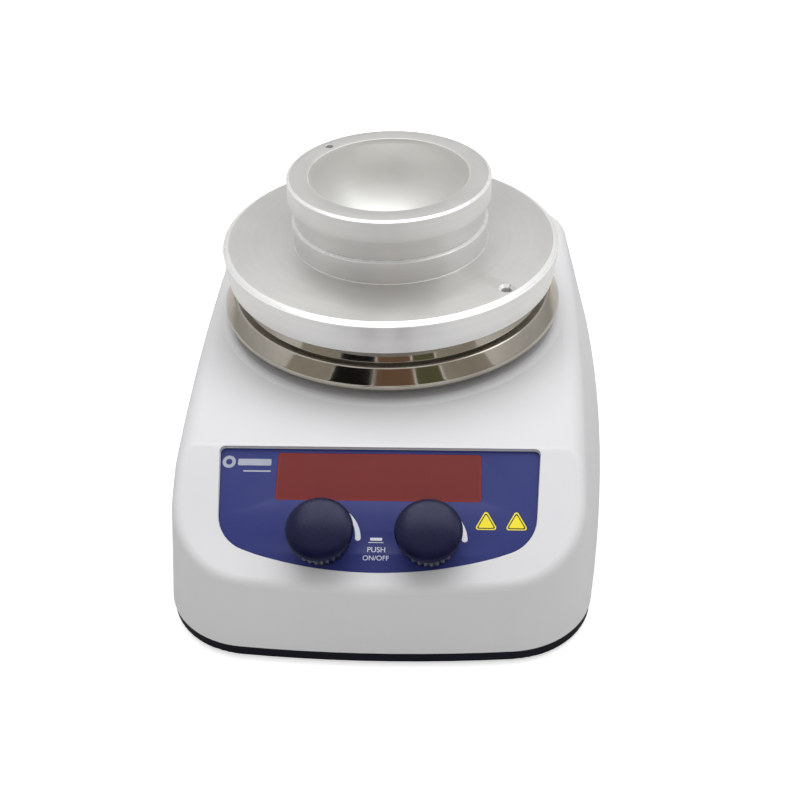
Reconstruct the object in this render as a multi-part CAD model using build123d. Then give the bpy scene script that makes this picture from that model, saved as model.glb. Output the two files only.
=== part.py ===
from build123d import *
from math import cos, radians, sin, tan
import os

# Magnetic hotplate stirrer with a flask heating block on its plate.
# Millimetres.  +Z is up, -Y is the front (control panel), +X is the user's right.
# Origin: on the table, under the middle of the housing's footprint.

# ---------------------------------------------------------------- driving dimensions
DEPTH = 260.0                   # front to back at the foot of the housing
BASE_Z = 1.7                    # underside of the base plate
SEAM_Z = 6.5                    # joint between base plate and housing
DECK_Z = 61.5                   # flat top of the housing
WALL = 2.8                      # housing wall
EDGE_R = 8.0                    # rounding of the deck's edge
LIP_R = 4.0                     # rounding round the sloped front
INNER_EDGE_R = 5.2
INNER_LIP_R = 1.2
BASE_INSET = 0.4                # base plate's edge behind the housing's
BASE_EDGE_R = 0.5

# plan outlines: front corner, widest point of the side, rear corner (right half)
BASE_FRONT = (76.3, -124.7)
BASE_SIDE = (92.4, 9.0)
BASE_REAR = (91.5, 124.0)
BASE_CORNER_R = (34.0, 26.0)   # front, rear
DECK_FRONT = (74.5, -117.0)
DECK_SIDE = (79.1, 5.0)
DECK_REAR = (77.4, 119.0)
DECK_CORNER_R = (30.0, 24.0)
DECK_FRONT_Y = -123.0
DECK_REAR_Y = 124.0

# control panel: its plane runs down towards the front
PANEL_Y, PANEL_Z = -76.5, 59.5  # middle of the panel's upper edge
PANEL_SLOPE = 26.3              # degrees below horizontal
BROW_LIFT = 1.8                 # housing stands this far above the panel at its top
BROW_SLOPE = 28.2
PANEL_TOP_HALF = 60.2
PANEL_LOW_HALF = 57.8
PANEL_SIDE_V = 37.3             # length of the panel's straight sides, down the slope
PANEL_DEPTH_V = 48.8            # length down the slope at the middle
PANEL_T = 0.8
PANEL_TOP_R = 2.0
PANEL_LOW_R = 15.0
POCKET_GAP = 0.3
WINDOW_W, WINDOW_H = 76.4, 19.2
WINDOW_V = 11.2                 # middle of the window, down the slope
WINDOW_LIP = 1.0

# knobs
KNOB_X = 19.45
KNOB_V = 37.4
KNOB_R = 12.3                   # rim of the domed face
KNOB_NECK_R = 9.5
KNOB_FOOT, KNOB_GRIP_LOW, KNOB_RIM, KNOB_TOP = 1.3, 6.0, 12.6, 15.4
KNOB_GRIP_R, KNOB_GRIP_LOW_R = 11.95, 11.3
KNOB_HOLE_TOP = 10.8
KNOB_FLUTES, FLUTE_R = 30, 0.75
PUSH_TRAVEL = 0.6
SHAFT_R = 3.0
RUN = 0.05                      # radial running clearance

# hot plate
AXIS_Y = 22.0                   # plate axis
PLATE_Z = 83.3
FLANGE_Z = 75.0
SKIRT_Z = 67.2
SHEET = 0.8
TIER_R, TIER_FOOT_R = 57.6, 63.9
FLANGE_R = 67.0
SKIRT_R, SKIRT_WIDE_Z = 71.4, 69.1
SKIRT_LIP_R = 70.0
BEND_R = 0.9
BOSS_H = 0.8
BOSS_R, BOSS_TOP_R = 74.0, 70.0
HEATER_R = 56.4
STACK_R = 62.0
STACK_HOLE_R = 32.0
SCREW_PCR = 50.0                # radius of the plate screws' circle

# heating block
DISC_R, DISC_FOOT_R, DISC_H = 70.5, 69.0, 14.0
DISC_CHAMFER = (2.45, 1.3)      # inwards, downwards
STEP_R, STEP_Z = 40.9, 107.4
STEP_CHAMFER = (1.55, 0.82)
NECK_R = 39.7
RING_R, RING_LOW_Z, RING_Z = 42.0, 116.3, 125.7
RING_CHAMFER = (1.25, 0.66)
BOWL_R = 32.6
SPIGOT_R, SPIGOT_Z = 36.0, 90.2

# rear panel
REAR_Y = 122.0
REAR_WALL = 3.0
REAR_Z = 30.0
INLET_X, SWITCH_X, PROBE_X = -38.0, 38.0, 0.0
ROD_X, ROD_Y = -50.0, 103.0

# boards and bushes
BUSH_R = 3.6                    # encoder bush through the panel
ROD_BUSH_R = 8.0
VENTS = 8                       # slots in each row under the base
BOARD_Z, BOARD_T = 14.0, 1.6
BOARD_X, BOARD_Y0, BOARD_Y1 = 56.0, -34.0, 76.0
DISPLAY_BOARD_W = -12.5
BOARD_POSTS = [(sx * (BOARD_X - 5), y) for y in (BOARD_Y0 + 5, BOARD_Y1 - 5) for sx in (-1, 1)]

POSTS = [(sx * x, y) for x, y in ((64.0, -84.0), (67.0, 86.0)) for sx in (-1, 1)]
FEET = [(sx * x, y) for x, y in ((56.0, -100.0), (64.0, 104.0)) for sx in (-1, 1)]
PLATE_SCREWS = [(SCREW_PCR * cos(radians(a)), AXIS_Y + SCREW_PCR * sin(radians(a)))
                for a in (45, 135, 225, 315)]
SENSOR_AT = (0.0, AXIS_Y - 46.0)
UP = (Align.CENTER, Align.CENTER, Align.MIN)
DOWN = (Align.CENTER, Align.CENTER, Align.MAX)


# ---------------------------------------------------------------- helpers
def cyl(r, z0, z1, x=0.0, y=0.0):
    """Upright cylinder between two heights."""
    return Pos(x, y, z0) * Cylinder(r, z1 - z0, align=UP)


def tube(r_out, r_in, z0, z1, x=0.0, y=0.0):
    """Upright ring between two heights."""
    return cyl(r_out, z0, z1, x, y) - cyl(r_in, z0, z1, x, y)


def box(x0, x1, y0, y1, z0, z1):
    """Box between two corners."""
    mid = ((x0 + x1) / 2, (y0 + y1) / 2, (z0 + z1) / 2)
    return Pos(*mid) * Box(x1 - x0, y1 - y0, z1 - z0)


def rod_y(r, y0, y1, x, z):
    """Cylinder lying along Y."""
    return Pos(x, (y0 + y1) / 2, z) * Rot(90, 0, 0) * Cylinder(r, y1 - y0)


def turned(points, axis_y=AXIS_Y):
    """Solid turned about the plate axis from (radius, height) points."""
    with BuildSketch(Plane.XZ) as sk:
        with BuildLine():
            Polyline(*points, close=True)
        make_face()
    return Pos(0, axis_y, 0) * revolve(sk.sketch, Axis.Z)


def plan(z, front_y, side, rear_y, front, rear, corner_r, inset=0.0):
    """Housing outline at one height: four arcs joined by rounded corners."""
    fx, fy = front[0] - inset, front[1] + inset
    rx, ry = rear[0] - inset, rear[1] - inset
    sx, sy = side[0] - inset, side[1]
    with BuildSketch(Plane.XY.offset(z)) as sk:
        with BuildLine():
            ThreePointArc((-fx, fy), (0, front_y + inset), (fx, fy))
            ThreePointArc((fx, fy), (sx, sy), (rx, ry))
            ThreePointArc((rx, ry), (0, rear_y - inset), (-rx, ry))
            ThreePointArc((-rx, ry), (-sx, sy), (-fx, fy))
        make_face()
        fillet(sk.vertices().sort_by(Axis.Y)[:2], corner_r[0] - inset)
        fillet(sk.vertices().sort_by(Axis.Y)[-2:], corner_r[1] - inset)
    return sk.sketch


def foot_plan(z, inset=0.0):
    """Outline at the foot of the housing."""
    return plan(z, -DEPTH / 2, BASE_SIDE, DEPTH / 2, BASE_FRONT, BASE_REAR, BASE_CORNER_R, inset)


def deck_plan(z, inset=0.0):
    """Outline at the deck."""
    return plan(z, DECK_FRONT_Y, DECK_SIDE, DECK_REAR_Y, DECK_FRONT, DECK_REAR, DECK_CORNER_R, inset)


def above_slope(y, z, slope):
    """Everything over a plane that falls towards the front through (y, z)."""
    fall = tan(radians(slope))
    top, front = 2 * DECK_Z, -DEPTH
    with BuildSketch(Plane.YZ) as sk:
        with BuildLine():
            Polyline((y + (top - z) / fall, top), (front, top), (front, z - (y - front) * fall), close=True)
        make_face()
    return extrude(sk.sketch, DEPTH, both=True)


def shell_form(inset, deck_z, slope_y, slope_z, slope, edge_r, lip_r):
    """Drafted body with a rounded deck, cut by a sloped front whose rim is rounded in turn."""
    body = loft([foot_plan(SEAM_Z, inset).face(), deck_plan(deck_z, inset).face()], ruled=True)
    body = fillet(body.faces().sort_by(Axis.Z)[-1].edges(), edge_r)
    body = body - above_slope(slope_y, slope_z, slope)
    tilt = cos(radians(slope))
    front = [f for f in body.faces().filter_by(GeomType.PLANE) if abs(f.normal_at().Z - tilt) < 1e-3]
    return fillet(front[0].edges(), lip_r)


PANEL = Plane(origin=(0, PANEL_Y, PANEL_Z), x_dir=(1, 0, 0),
              z_dir=(0, -sin(radians(PANEL_SLOPE)), cos(radians(PANEL_SLOPE))))


def on_panel(shape):
    """Move a shape drawn with +Z as the panel's normal and -Y down its slope."""
    return PANEL.location * shape


def panel_outline(grow=0.0):
    """Straight upper edge, nearly straight sides and a broad bottom arc."""
    top, low = PANEL_TOP_HALF + grow, PANEL_LOW_HALF + grow
    side_y = -PANEL_SIDE_V - grow
    with BuildSketch() as sk:
        with BuildLine():
            Polyline((-low, side_y), (-top, grow), (top, grow), (low, side_y))
            ThreePointArc((low, side_y), (0, -PANEL_DEPTH_V - grow), (-low, side_y))
        make_face()
        fillet(sk.vertices().sort_by(Axis.Y)[:2], PANEL_LOW_R + grow)
        fillet(sk.vertices().sort_by(Axis.Y)[-2:], PANEL_TOP_R + grow)
    return sk.sketch


def panel_slab(sketch, w0, w1):
    """Slab on the panel between two distances from its face."""
    return on_panel(extrude(Pos(0, 0, w0) * sketch, w1 - w0))


def panel_cyl(r, w0, w1, u, v):
    """Cylinder square to the panel, at v down the slope."""
    return on_panel(cyl(r, w0, w1, u, -v))


def panel_box(u0, u1, v0, v1, w0, w1):
    """Box square to the panel, between v0 and v1 down the slope."""
    return on_panel(box(u0, u1, -v1, -v0, w0, w1))


def window_rect(shrink=0.0):
    """Display window outline."""
    return Pos(0, -WINDOW_V) * RectangleRounded(WINDOW_W - 2 * shrink, WINDOW_H - 2 * shrink, 1.2)


# ---------------------------------------------------------------- housing
POCKET_FLOOR = -PANEL_T
PANEL_BACK = POCKET_FLOOR - 2.5
POST_R, POST_HOLE_R = 4.5, 1.5
DECK_HOLE_R = 9.0


def make_housing():
    normal = (-sin(radians(PANEL_SLOPE)), cos(radians(PANEL_SLOPE)))
    brow_y = PANEL_Y + BROW_LIFT * normal[0]
    brow_z = PANEL_Z + BROW_LIFT * normal[1]
    back_y = PANEL_Y + PANEL_BACK * normal[0]
    back_z = PANEL_Z + PANEL_BACK * normal[1]
    outer = shell_form(0, DECK_Z, brow_y, brow_z, BROW_SLOPE, EDGE_R, LIP_R)
    inner = shell_form(WALL, DECK_Z - WALL, back_y, back_z, PANEL_SLOPE, INNER_EDGE_R, INNER_LIP_R)
    body = outer - inner
    body += turned([(0, DECK_Z), (BOSS_R, DECK_Z), (BOSS_TOP_R, DECK_Z + BOSS_H), (0, DECK_Z + BOSS_H)])
    rear_pad = box(-66, 66, REAR_Y - REAR_WALL, DEPTH / 2, 9, 52) & outer
    body += rear_pad
    for x, y in POSTS:
        body += cyl(POST_R, SEAM_Z + 2.5, DECK_Z, x, y) & outer
    body -= box(-62, 62, REAR_Y, DEPTH, 13, 47)
    body -= panel_slab(panel_outline(POCKET_GAP), POCKET_FLOOR, 12)
    body -= panel_slab(window_rect(WINDOW_LIP), PANEL_BACK - 2, 1)
    for side in (-1, 1):
        body -= panel_cyl(BUSH_R + 0.1, PANEL_BACK - 2, 1, side * KNOB_X, KNOB_V)
    body -= cyl(DECK_HOLE_R, DECK_Z - 2 * WALL, PLATE_Z, 0, AXIS_Y)
    for x, y in PLATE_SCREWS:
        body -= cyl(1.8, DECK_Z - 2 * WALL, PLATE_Z, x, y)
    body -= cyl(3.2, DECK_Z - 2 * WALL, PLATE_Z, *SENSOR_AT)
    for x, y in POSTS:
        body -= cyl(POST_HOLE_R, SEAM_Z, SEAM_Z + 12, x, y)
    body -= box(INLET_X - 13.3, INLET_X + 13.3, REAR_Y - 5, REAR_Y + 1, REAR_Z - 14.2, REAR_Z + 14.2)
    body -= box(SWITCH_X - 9.2, SWITCH_X + 9.2, REAR_Y - 5, REAR_Y + 1, REAR_Z - 11.7, REAR_Z + 11.7)
    body -= rod_y(7.6, REAR_Y - 5, REAR_Y + 1, PROBE_X, REAR_Z)
    body -= cyl(ROD_BUSH_R + 0.1, DECK_Z - 2 * WALL, PLATE_Z, ROD_X, ROD_Y)
    return body


def make_base():
    plate = extrude(foot_plan(BASE_Z, BASE_INSET), SEAM_Z - BASE_Z)
    plate += extrude(foot_plan(SEAM_Z, WALL + 0.4), 2.0)
    plate = fillet(plate.edges().filter_by_position(Axis.Z, BASE_Z, BASE_Z), BASE_EDGE_R)
    for x, y in BOARD_POSTS:
        plate += tube(3.0, 1.3, SEAM_Z, BOARD_Z, x, y)
    for x, y in POSTS:
        plate -= cyl(3.6, BASE_Z, BASE_Z + 2.2, x, y)
        plate -= cyl(1.7, BASE_Z, SEAM_Z + 3, x, y)
    for x, y in FEET:
        plate -= cyl(3.0, BASE_Z, BASE_Z + 2.6, x, y)
    for i in range(VENTS):
        for y in (-48.0, 62.0):
            plate -= box(-31.5 + 9 * i, -28.5 + 9 * i, y - 12, y + 12, 0, SEAM_Z + 5)
    return plate


parts = {}
parts["top_housing"] = make_housing()
parts["base_plate"] = make_base()
parts["rubber_feet"] = [cyl(8.0, 0, BASE_Z, x, y) + cyl(2.9, BASE_Z, BASE_Z + 2.4, x, y) for x, y in FEET]


def screw(x, y, z, head_r, head_h, shank_r, length):
    """Pan-head screw pointing up, with a hexagon recess; z is the head's underside."""
    s = cyl(head_r, z - head_h, z, x, y) + cyl(shank_r, z, z + length, x, y)
    return s - Pos(x, y, z - head_h) * extrude(RegularPolygon(head_r * 0.5, 6), head_h * 0.6)


parts["base_screws"] = [screw(x, y, BASE_Z + 2.2, 3.2, 1.6, 1.4, 11.0) for x, y in POSTS]

# ---------------------------------------------------------------- control panel
overlay = panel_slab(panel_outline(), -PANEL_T, 0) - panel_slab(window_rect(), -2, 1)
for side in (-1, 1):
    overlay -= panel_cyl(BUSH_R + 0.1, -2, 1, side * KNOB_X, KNOB_V)
parts["panel_overlay"] = overlay
parts["display_window"] = (panel_slab(window_rect(0.05), -PANEL_T, -0.1)
                           + panel_slab(window_rect(WINDOW_LIP + 0.1), PANEL_BACK, -PANEL_T))

parts["display_board"] = panel_box(-56, 56, 1, 46, DISPLAY_BOARD_W - BOARD_T, DISPLAY_BOARD_W)
parts["led_digits"] = [panel_box(u - 17.5, u + 17.5, WINDOW_V - 7, WINDOW_V + 7, DISPLAY_BOARD_W, -4.6)
                       for u in (-19, 19)]


def encoder_body(u):
    """Rotary encoder: square case with a threaded bush and a switch chamber at its foot."""
    case = panel_box(u - 6.2, u + 6.2, KNOB_V - 6.2, KNOB_V + 6.2, DISPLAY_BOARD_W, -4.8)
    case += panel_cyl(BUSH_R, -4.8, 0.6, u, KNOB_V)
    case -= panel_cyl(SHAFT_R + RUN, -7, 1, u, KNOB_V)
    return case - panel_cyl(4.8, DISPLAY_BOARD_W + 0.8, -6.4, u, KNOB_V)


def knob(u):
    """Fluted knob with a domed face."""
    rise = KNOB_TOP - KNOB_RIM
    dome_r = (KNOB_R ** 2 + rise ** 2) / (2 * rise)
    with BuildSketch(Plane.XZ) as sk:
        with BuildLine():
            Polyline((0, KNOB_FOOT), (KNOB_NECK_R, KNOB_FOOT), (KNOB_NECK_R, KNOB_GRIP_LOW),
                     (KNOB_GRIP_LOW_R, KNOB_GRIP_LOW), (KNOB_GRIP_R, KNOB_RIM), (KNOB_R, KNOB_RIM))
            dome = RadiusArc((KNOB_R, KNOB_RIM), (-KNOB_R, KNOB_RIM), -dome_r, mode=Mode.PRIVATE)
            ThreePointArc((KNOB_R, KNOB_RIM), dome @ 0.25, dome @ 0.5)
            Line(dome @ 0.5, (0, KNOB_FOOT))
        make_face()
    k = revolve(sk.sketch, Axis.Z)
    flute = cyl(FLUTE_R, KNOB_FOOT, KNOB_RIM - 0.6, KNOB_GRIP_R + FLUTE_R / 2, 0)
    for i in range(KNOB_FLUTES):
        k -= Rot(0, 0, (i + 0.5) * 360 / KNOB_FLUTES) * flute
    k -= cyl(SHAFT_R, KNOB_FOOT, KNOB_HOLE_TOP)
    return on_panel(Pos(u, -KNOB_V, 0) * k)


for name, u in (("heat", -KNOB_X), ("stir", KNOB_X)):
    parts[name + "_encoder"] = encoder_body(u)
    parts[name + "_plunger"] = panel_cyl(4.2, -10.6, -9.2, u, KNOB_V)
    parts[name + "_shaft"] = panel_cyl(SHAFT_R, -9.1, KNOB_HOLE_TOP - 0.2, u, KNOB_V)
    parts[name + "_knob"] = knob(u)

# ---------------------------------------------------------------- hot plate
STACK_Z = 64.8
SHIELD_Z, WOOL_Z, MICA_Z = 66.2, 72.4, 74.8


def pressed_sheet(face, thickness):
    """Outline of a sheet: its outer face along the points, its inner face a thickness below."""
    points = [Vector(*p) for p in face]
    runs = [(b - a).normalized() for a, b in zip(points, points[1:])]
    inner = []
    for i, point in enumerate(points):
        before, after = runs[max(i - 1, 0)], runs[min(i, len(runs) - 1)]
        miter = Vector(before.Y + after.Y, -before.X - after.X)
        inner.append(point + miter * (thickness * 2 / miter.length ** 2))
    return points, inner


def make_cover():
    """Turned sheet: flat top, sloping tier, narrow flange and a flared skirt."""
    face = [(0, PLATE_Z), (TIER_R, PLATE_Z), (TIER_FOOT_R, FLANGE_Z), (FLANGE_R, FLANGE_Z),
            (SKIRT_R, SKIRT_WIDE_Z), (SKIRT_LIP_R, SKIRT_Z)]
    outer, inner = pressed_sheet(face, SHEET)
    bends = outer[1:-1] + inner[1:-1]
    with BuildSketch(Plane.XZ) as sk:
        with BuildLine():
            Polyline(*outer, *reversed(inner), close=True)
        make_face()
        for bend in bends:
            corner = min(sk.vertices(), key=lambda v: abs(v.X - bend.X) + abs(v.Z - bend.Y))
            fillet(corner, BEND_R)
    return Pos(0, AXIS_Y, 0) * revolve(sk.sketch, Axis.Z)


parts["plate_cover"] = make_cover()


def stack_layer(r_in, z0, z1):
    """Layer under the plate, with holes for the plate screws and the sensor."""
    layer = tube(STACK_R, r_in, z0, z1, 0, AXIS_Y)
    for x, y in PLATE_SCREWS:
        layer -= cyl(1.7, z0, z1, x, y)
    return layer - cyl(2.7, z0, z1, *SENSOR_AT)


heater = cyl(HEATER_R, MICA_Z, PLATE_Z - SHEET, 0, AXIS_Y)
for x, y in PLATE_SCREWS:
    heater -= cyl(1.7, MICA_Z, PLATE_Z - 3, x, y)
parts["heater_plate"] = heater
parts["heater_element"] = stack_layer(STACK_HOLE_R, WOOL_Z, MICA_Z)
parts["insulation_ring"] = stack_layer(STACK_HOLE_R, SHIELD_Z, WOOL_Z)
parts["heat_shield"] = stack_layer(STACK_HOLE_R - 1.5, STACK_Z, SHIELD_Z)
parts["plate_bushes"] = [tube(5.0, 1.7, DECK_Z + BOSS_H, STACK_Z, x, y) for x, y in PLATE_SCREWS]
parts["plate_screws"] = [screw(x, y, DECK_Z - WALL, 3.0, 2.0, 1.5, 20.0) for x, y in PLATE_SCREWS]
parts["plate_sensor"] = cyl(2.5, DECK_Z - 5, MICA_Z, *SENSOR_AT)

# ---------------------------------------------------------------- heating block
DISC_Z = PLATE_Z + DISC_H
block = turned([
    (0, PLATE_Z), (DISC_FOOT_R, PLATE_Z), (DISC_R, DISC_Z - DISC_CHAMFER[1]),
    (DISC_R - DISC_CHAMFER[0], DISC_Z), (STEP_R, DISC_Z),
    (STEP_R, STEP_Z - STEP_CHAMFER[1]), (STEP_R - STEP_CHAMFER[0], STEP_Z), (SPIGOT_R + RUN, STEP_Z),
    (SPIGOT_R + RUN, SPIGOT_Z - 0.3), (0, SPIGOT_Z - 0.3)])
HANDLE_HOLE = (47.8, -21.0)
HANDLE_R = 2.1
block -= cyl(HANDLE_R, DISC_Z - 9, DISC_Z, *HANDLE_HOLE)
block -= Pos(*HANDLE_HOLE, DISC_Z) * Cone(HANDLE_R, HANDLE_R + 1.1, 1.1, align=DOWN)
parts["block_base"] = block

insert = turned([
    (0, SPIGOT_Z), (SPIGOT_R - 1, SPIGOT_Z), (SPIGOT_R, SPIGOT_Z + 1), (SPIGOT_R, STEP_Z), (NECK_R, STEP_Z),
    (NECK_R, RING_LOW_Z), (RING_R, RING_LOW_Z), (RING_R, RING_Z - RING_CHAMFER[1]),
    (RING_R - RING_CHAMFER[0], RING_Z), (0, RING_Z)])
insert -= Pos(0, AXIS_Y, RING_Z) * Sphere(BOWL_R)
insert -= Pos(0, AXIS_Y, RING_Z) * Cone(BOWL_R - 0.5, BOWL_R + 0.5, 1.0, align=DOWN)
PROBE_HOLE = (-26.6, AXIS_Y + 25.3)
insert -= cyl(1.6, RING_Z - 16, RING_Z, *PROBE_HOLE)
parts["flask_insert"] = insert

# ---------------------------------------------------------------- stirring drive
MOTOR_TOP = DECK_Z - WALL
TUBE_R, TUBE_LOW_Z = 7.5, 39.0
BEARING_R, BEARING_H, BEARING_ZS = 5.5, 4.0, (40.0, 57.5)
SPINDLE_R, SPINDLE_TOP = 2.0, 67.0
MOUNT_R, MOUNT_T = 24.0, 2.5
BELL_R, BELL_T, BELL_Z, BELL_TOP = 24.0, 2.0, 34.0, 52.5
BELL_HUB_R = 4.5
MAGNET_RING_R, MAGNET_RING_Z0, MAGNET_RING_Z1 = 20.6, 40.0, 52.0
CARRIER_R, CARRIER_Z, CARRIER_TOP = 27.0, 64.4, 67.4
MAGNET_R, MAGNET_H, MAGNET_X = 6.5, 5.0, 18.0
CORE_Z0, CORE_Z1, CORE_R = 42.0, 50.0, 10.5
TEETH, TOOTH_HALF, TOOTH_R = 9, 1.6, 19.0
SHOE_R_IN, SHOE_R_OUT, SHOE_HALF = 18.2, 19.8, 5.2
COIL_R0, COIL_R1, COIL_HALF, COIL_RISE = 11.4, 17.6, 2.9, 1.3
COIL_GAP = 0.1

mount = tube(MOUNT_R, BEARING_R, MOTOR_TOP - MOUNT_T, MOTOR_TOP, 0, AXIS_Y)
mount += tube(TUBE_R, BEARING_R, TUBE_LOW_Z, DECK_Z + 1.0, 0, AXIS_Y)
parts["motor_mount"] = mount
parts["motor_bearings"] = [tube(BEARING_R, SPINDLE_R + RUN, z, z + BEARING_H, 0, AXIS_Y) for z in BEARING_ZS]


def stator_tooth():
    """One arm of the stator with its curved shoe, pointing along +X."""
    shoe = tube(SHOE_R_OUT, SHOE_R_IN, CORE_Z0, CORE_Z1)
    arm = box(CORE_R - 1.5, TOOTH_R, -TOOTH_HALF, TOOTH_HALF, CORE_Z0, CORE_Z1)
    return arm, shoe & box(0, 1.1 * SHOE_R_OUT, -SHOE_HALF, SHOE_HALF, CORE_Z0, CORE_Z1)


def stator_coil():
    """Winding round one arm."""
    hole = box(COIL_R0 - 1, COIL_R1 + 1, -TOOTH_HALF - COIL_GAP, TOOTH_HALF + COIL_GAP,
               CORE_Z0 - COIL_GAP, CORE_Z1 + COIL_GAP)
    return box(COIL_R0, COIL_R1, -COIL_HALF, COIL_HALF, CORE_Z0 - COIL_RISE, CORE_Z1 + COIL_RISE) - hole


core = tube(CORE_R, TUBE_R, CORE_Z0, CORE_Z1, 0, AXIS_Y)
coils = []
for i in range(TEETH):
    turn = Pos(0, AXIS_Y, 0) * Rot(0, 0, i * 360 / TEETH)
    for piece in stator_tooth():
        core += turn * piece
    coils.append(turn * stator_coil())
parts["stator_core"] = core
parts["stator_coils"] = coils
parts["motor_board"] = tube(20.0, TUBE_R + 0.1, MOTOR_TOP - MOUNT_T - 1.3, MOTOR_TOP - MOUNT_T, 0, AXIS_Y)

bell = cyl(BELL_R, BELL_Z, BELL_Z + BELL_T, 0, AXIS_Y)
bell += tube(BELL_R, BELL_R - BELL_T, BELL_Z + BELL_T, BELL_TOP, 0, AXIS_Y)
bell += cyl(BELL_HUB_R, BELL_Z + BELL_T, BELL_Z + 2 * BELL_T, 0, AXIS_Y)
parts["rotor_bell"] = bell - cyl(SPINDLE_R, BELL_Z, BELL_Z + 2 * BELL_T, 0, AXIS_Y)
parts["rotor_magnet_ring"] = tube(BELL_R - BELL_T, MAGNET_RING_R, MAGNET_RING_Z0, MAGNET_RING_Z1, 0, AXIS_Y)
parts["motor_spindle"] = cyl(SPINDLE_R, BELL_Z, SPINDLE_TOP, 0, AXIS_Y)

carrier = cyl(CARRIER_R, CARRIER_Z, CARRIER_TOP, 0, AXIS_Y) - cyl(SPINDLE_R, CARRIER_Z, SPINDLE_TOP, 0, AXIS_Y)
carrier += tube(9.0, 4.0, CARRIER_TOP, CARRIER_TOP + 1.6, 0, AXIS_Y)
parts["magnet_carrier"] = carrier
parts["stir_magnets"] = [cyl(MAGNET_R, CARRIER_TOP, CARRIER_TOP + MAGNET_H, x, AXIS_Y)
                         for x in (-MAGNET_X, MAGNET_X)]

# ---------------------------------------------------------------- electronics
TOP = BOARD_Z + BOARD_T
SINK_X0, SINK_X1, SINK_Y0, SINK_Y1 = -44.0, -14.0, -28.0, -14.0
SINK_H, SINK_FLOOR = 16.0, 3.0
FINS, FIN_PITCH, FIN_T = 6, 5.6, 2.0
CAPACITOR_R, CAPACITOR_H, CAPACITORS = 8.0, 17.0, ((0, 64), (42, 40))
TERMINAL_W, TERMINAL_D, TERMINAL_H, TERMINAL_XS = 15.0, 10.0, 10.0, (4.0, 24.0)

main_board = box(-BOARD_X, BOARD_X, BOARD_Y0, BOARD_Y1, BOARD_Z, TOP)
for x, y in BOARD_POSTS:
    main_board -= cyl(1.4, BOARD_Z, TOP, x, y)
parts["main_board"] = main_board
parts["board_screws"] = [Pos(x, y, TOP) * Rot(180, 0, 0) * screw(0, 0, 0, 2.8, 1.6, 1.2, BOARD_T + 3.0)
                         for x, y in BOARD_POSTS]
parts["power_module"] = box(-46, -12, 48, 74, TOP, TOP + 20)
parts["smoothing_capacitors"] = [cyl(CAPACITOR_R, TOP, TOP + CAPACITOR_H, x, y) for x, y in CAPACITORS]
parts["relay"] = box(14, 33, 50, 66, TOP, TOP + 15)
fins = box(SINK_X0, SINK_X1, SINK_Y0, SINK_Y1, TOP, TOP + SINK_FLOOR)
for i in range(FINS):
    x = SINK_X0 + FIN_PITCH * i
    fins += box(x, x + FIN_T, SINK_Y0, SINK_Y1, TOP, TOP + SINK_H)
parts["heatsink"] = fins
parts["triac"] = box(-34, -24, SINK_Y1 + 0.1, SINK_Y1 + 4.6, TOP, TOP + 15)
TERMINAL_Y = BOARD_Y0 + 4.0
parts["terminal_blocks"] = [box(x, x + TERMINAL_W, TERMINAL_Y, TERMINAL_Y + TERMINAL_D, TOP, TOP + TERMINAL_H)
                            for x in TERMINAL_XS]

# ---------------------------------------------------------------- rear connections
FACE = REAR_Y + 2.0             # outer faces of the inlet and the switch
INLET_BACK, SWITCH_BACK, SOCKET_BACK, DRAWER_BACK = 98.0, 102.0, 107.0, 100.0
SOCKET_Z, DRAWER_Z = REAR_Z + 4.6, REAR_Z - 9.2
SOCKET_HALF_W, SOCKET_HALF_H = 12.0, 8.0
DRAWER_HALF_W, DRAWER_HALF_H, DRAWER_GAP = 10.9, 3.8, 0.3
FUSE_Y, FUSE_R, FUSE_L = 111.0, 2.5, 20.0
PIN_FRONT, PIN_HALF_W, PIN_HALF_H = 121.0, 1.0, 2.0
PINS = ((-7, -2), (7, -2), (0, 2))
SWITCH_HALF_W, SWITCH_HALF_H = 7.6, 10.3
ROCK = 8.0                      # tilt either side of level
ROCKER_R, ROCKER_FACE, ROCKER_BACK, ROCKER_HALF_W = 9.9, 5.2, -4.5, 7.2
PIVOT_Y = FACE - 4.5
PROBE_R, PROBE_BODY_R, PROBE_BORE_R, PROBE_FLOOR_Y = 9.0, 7.5, 5.6, 113.0
PROBE_PINS, PROBE_PIN_R, PROBE_PIN_PCR, PROBE_PIN_L = 5, 0.6, 3.2, 5.0
ROD_FLANGE_R, ROD_FLANGE_H, ROD_HOLE_R = 10.5, 1.6, 4.25


def beside(x, z, half_w, half_h, y0, y1):
    """Box centred on (x, z) and running along Y."""
    return box(x - half_w, x + half_w, y0, y1, z - half_h, z + half_h)


inlet = beside(INLET_X, REAR_Z, 15, 16, REAR_Y, FACE)
inlet = fillet(inlet.edges().filter_by(Axis.Y), 2.0)
inlet += beside(INLET_X, REAR_Z, 13.1, 14, INLET_BACK, REAR_Y)
inlet -= beside(INLET_X, SOCKET_Z, SOCKET_HALF_W, SOCKET_HALF_H, SOCKET_BACK, FACE)
inlet -= beside(INLET_X, DRAWER_Z, DRAWER_HALF_W + DRAWER_GAP, DRAWER_HALF_H + DRAWER_GAP, DRAWER_BACK, FACE)
parts["power_inlet"] = inlet
parts["inlet_pins"] = [beside(INLET_X + dx, SOCKET_Z + dz, PIN_HALF_W, PIN_HALF_H, SOCKET_BACK, PIN_FRONT)
                       for dx, dz in PINS]
drawer = beside(INLET_X, DRAWER_Z, DRAWER_HALF_W, DRAWER_HALF_H, DRAWER_BACK + 1, FACE + 1)
drawer -= box(INLET_X - 10.2, INLET_X + 10.2, FUSE_Y - 3, FUSE_Y + 3, DRAWER_Z - 2.6, DRAWER_Z + 4)
parts["fuse_drawer"] = drawer
parts["fuse"] = Pos(INLET_X, FUSE_Y, DRAWER_Z) * Rot(0, 90, 0) * Cylinder(FUSE_R, FUSE_L)

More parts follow.
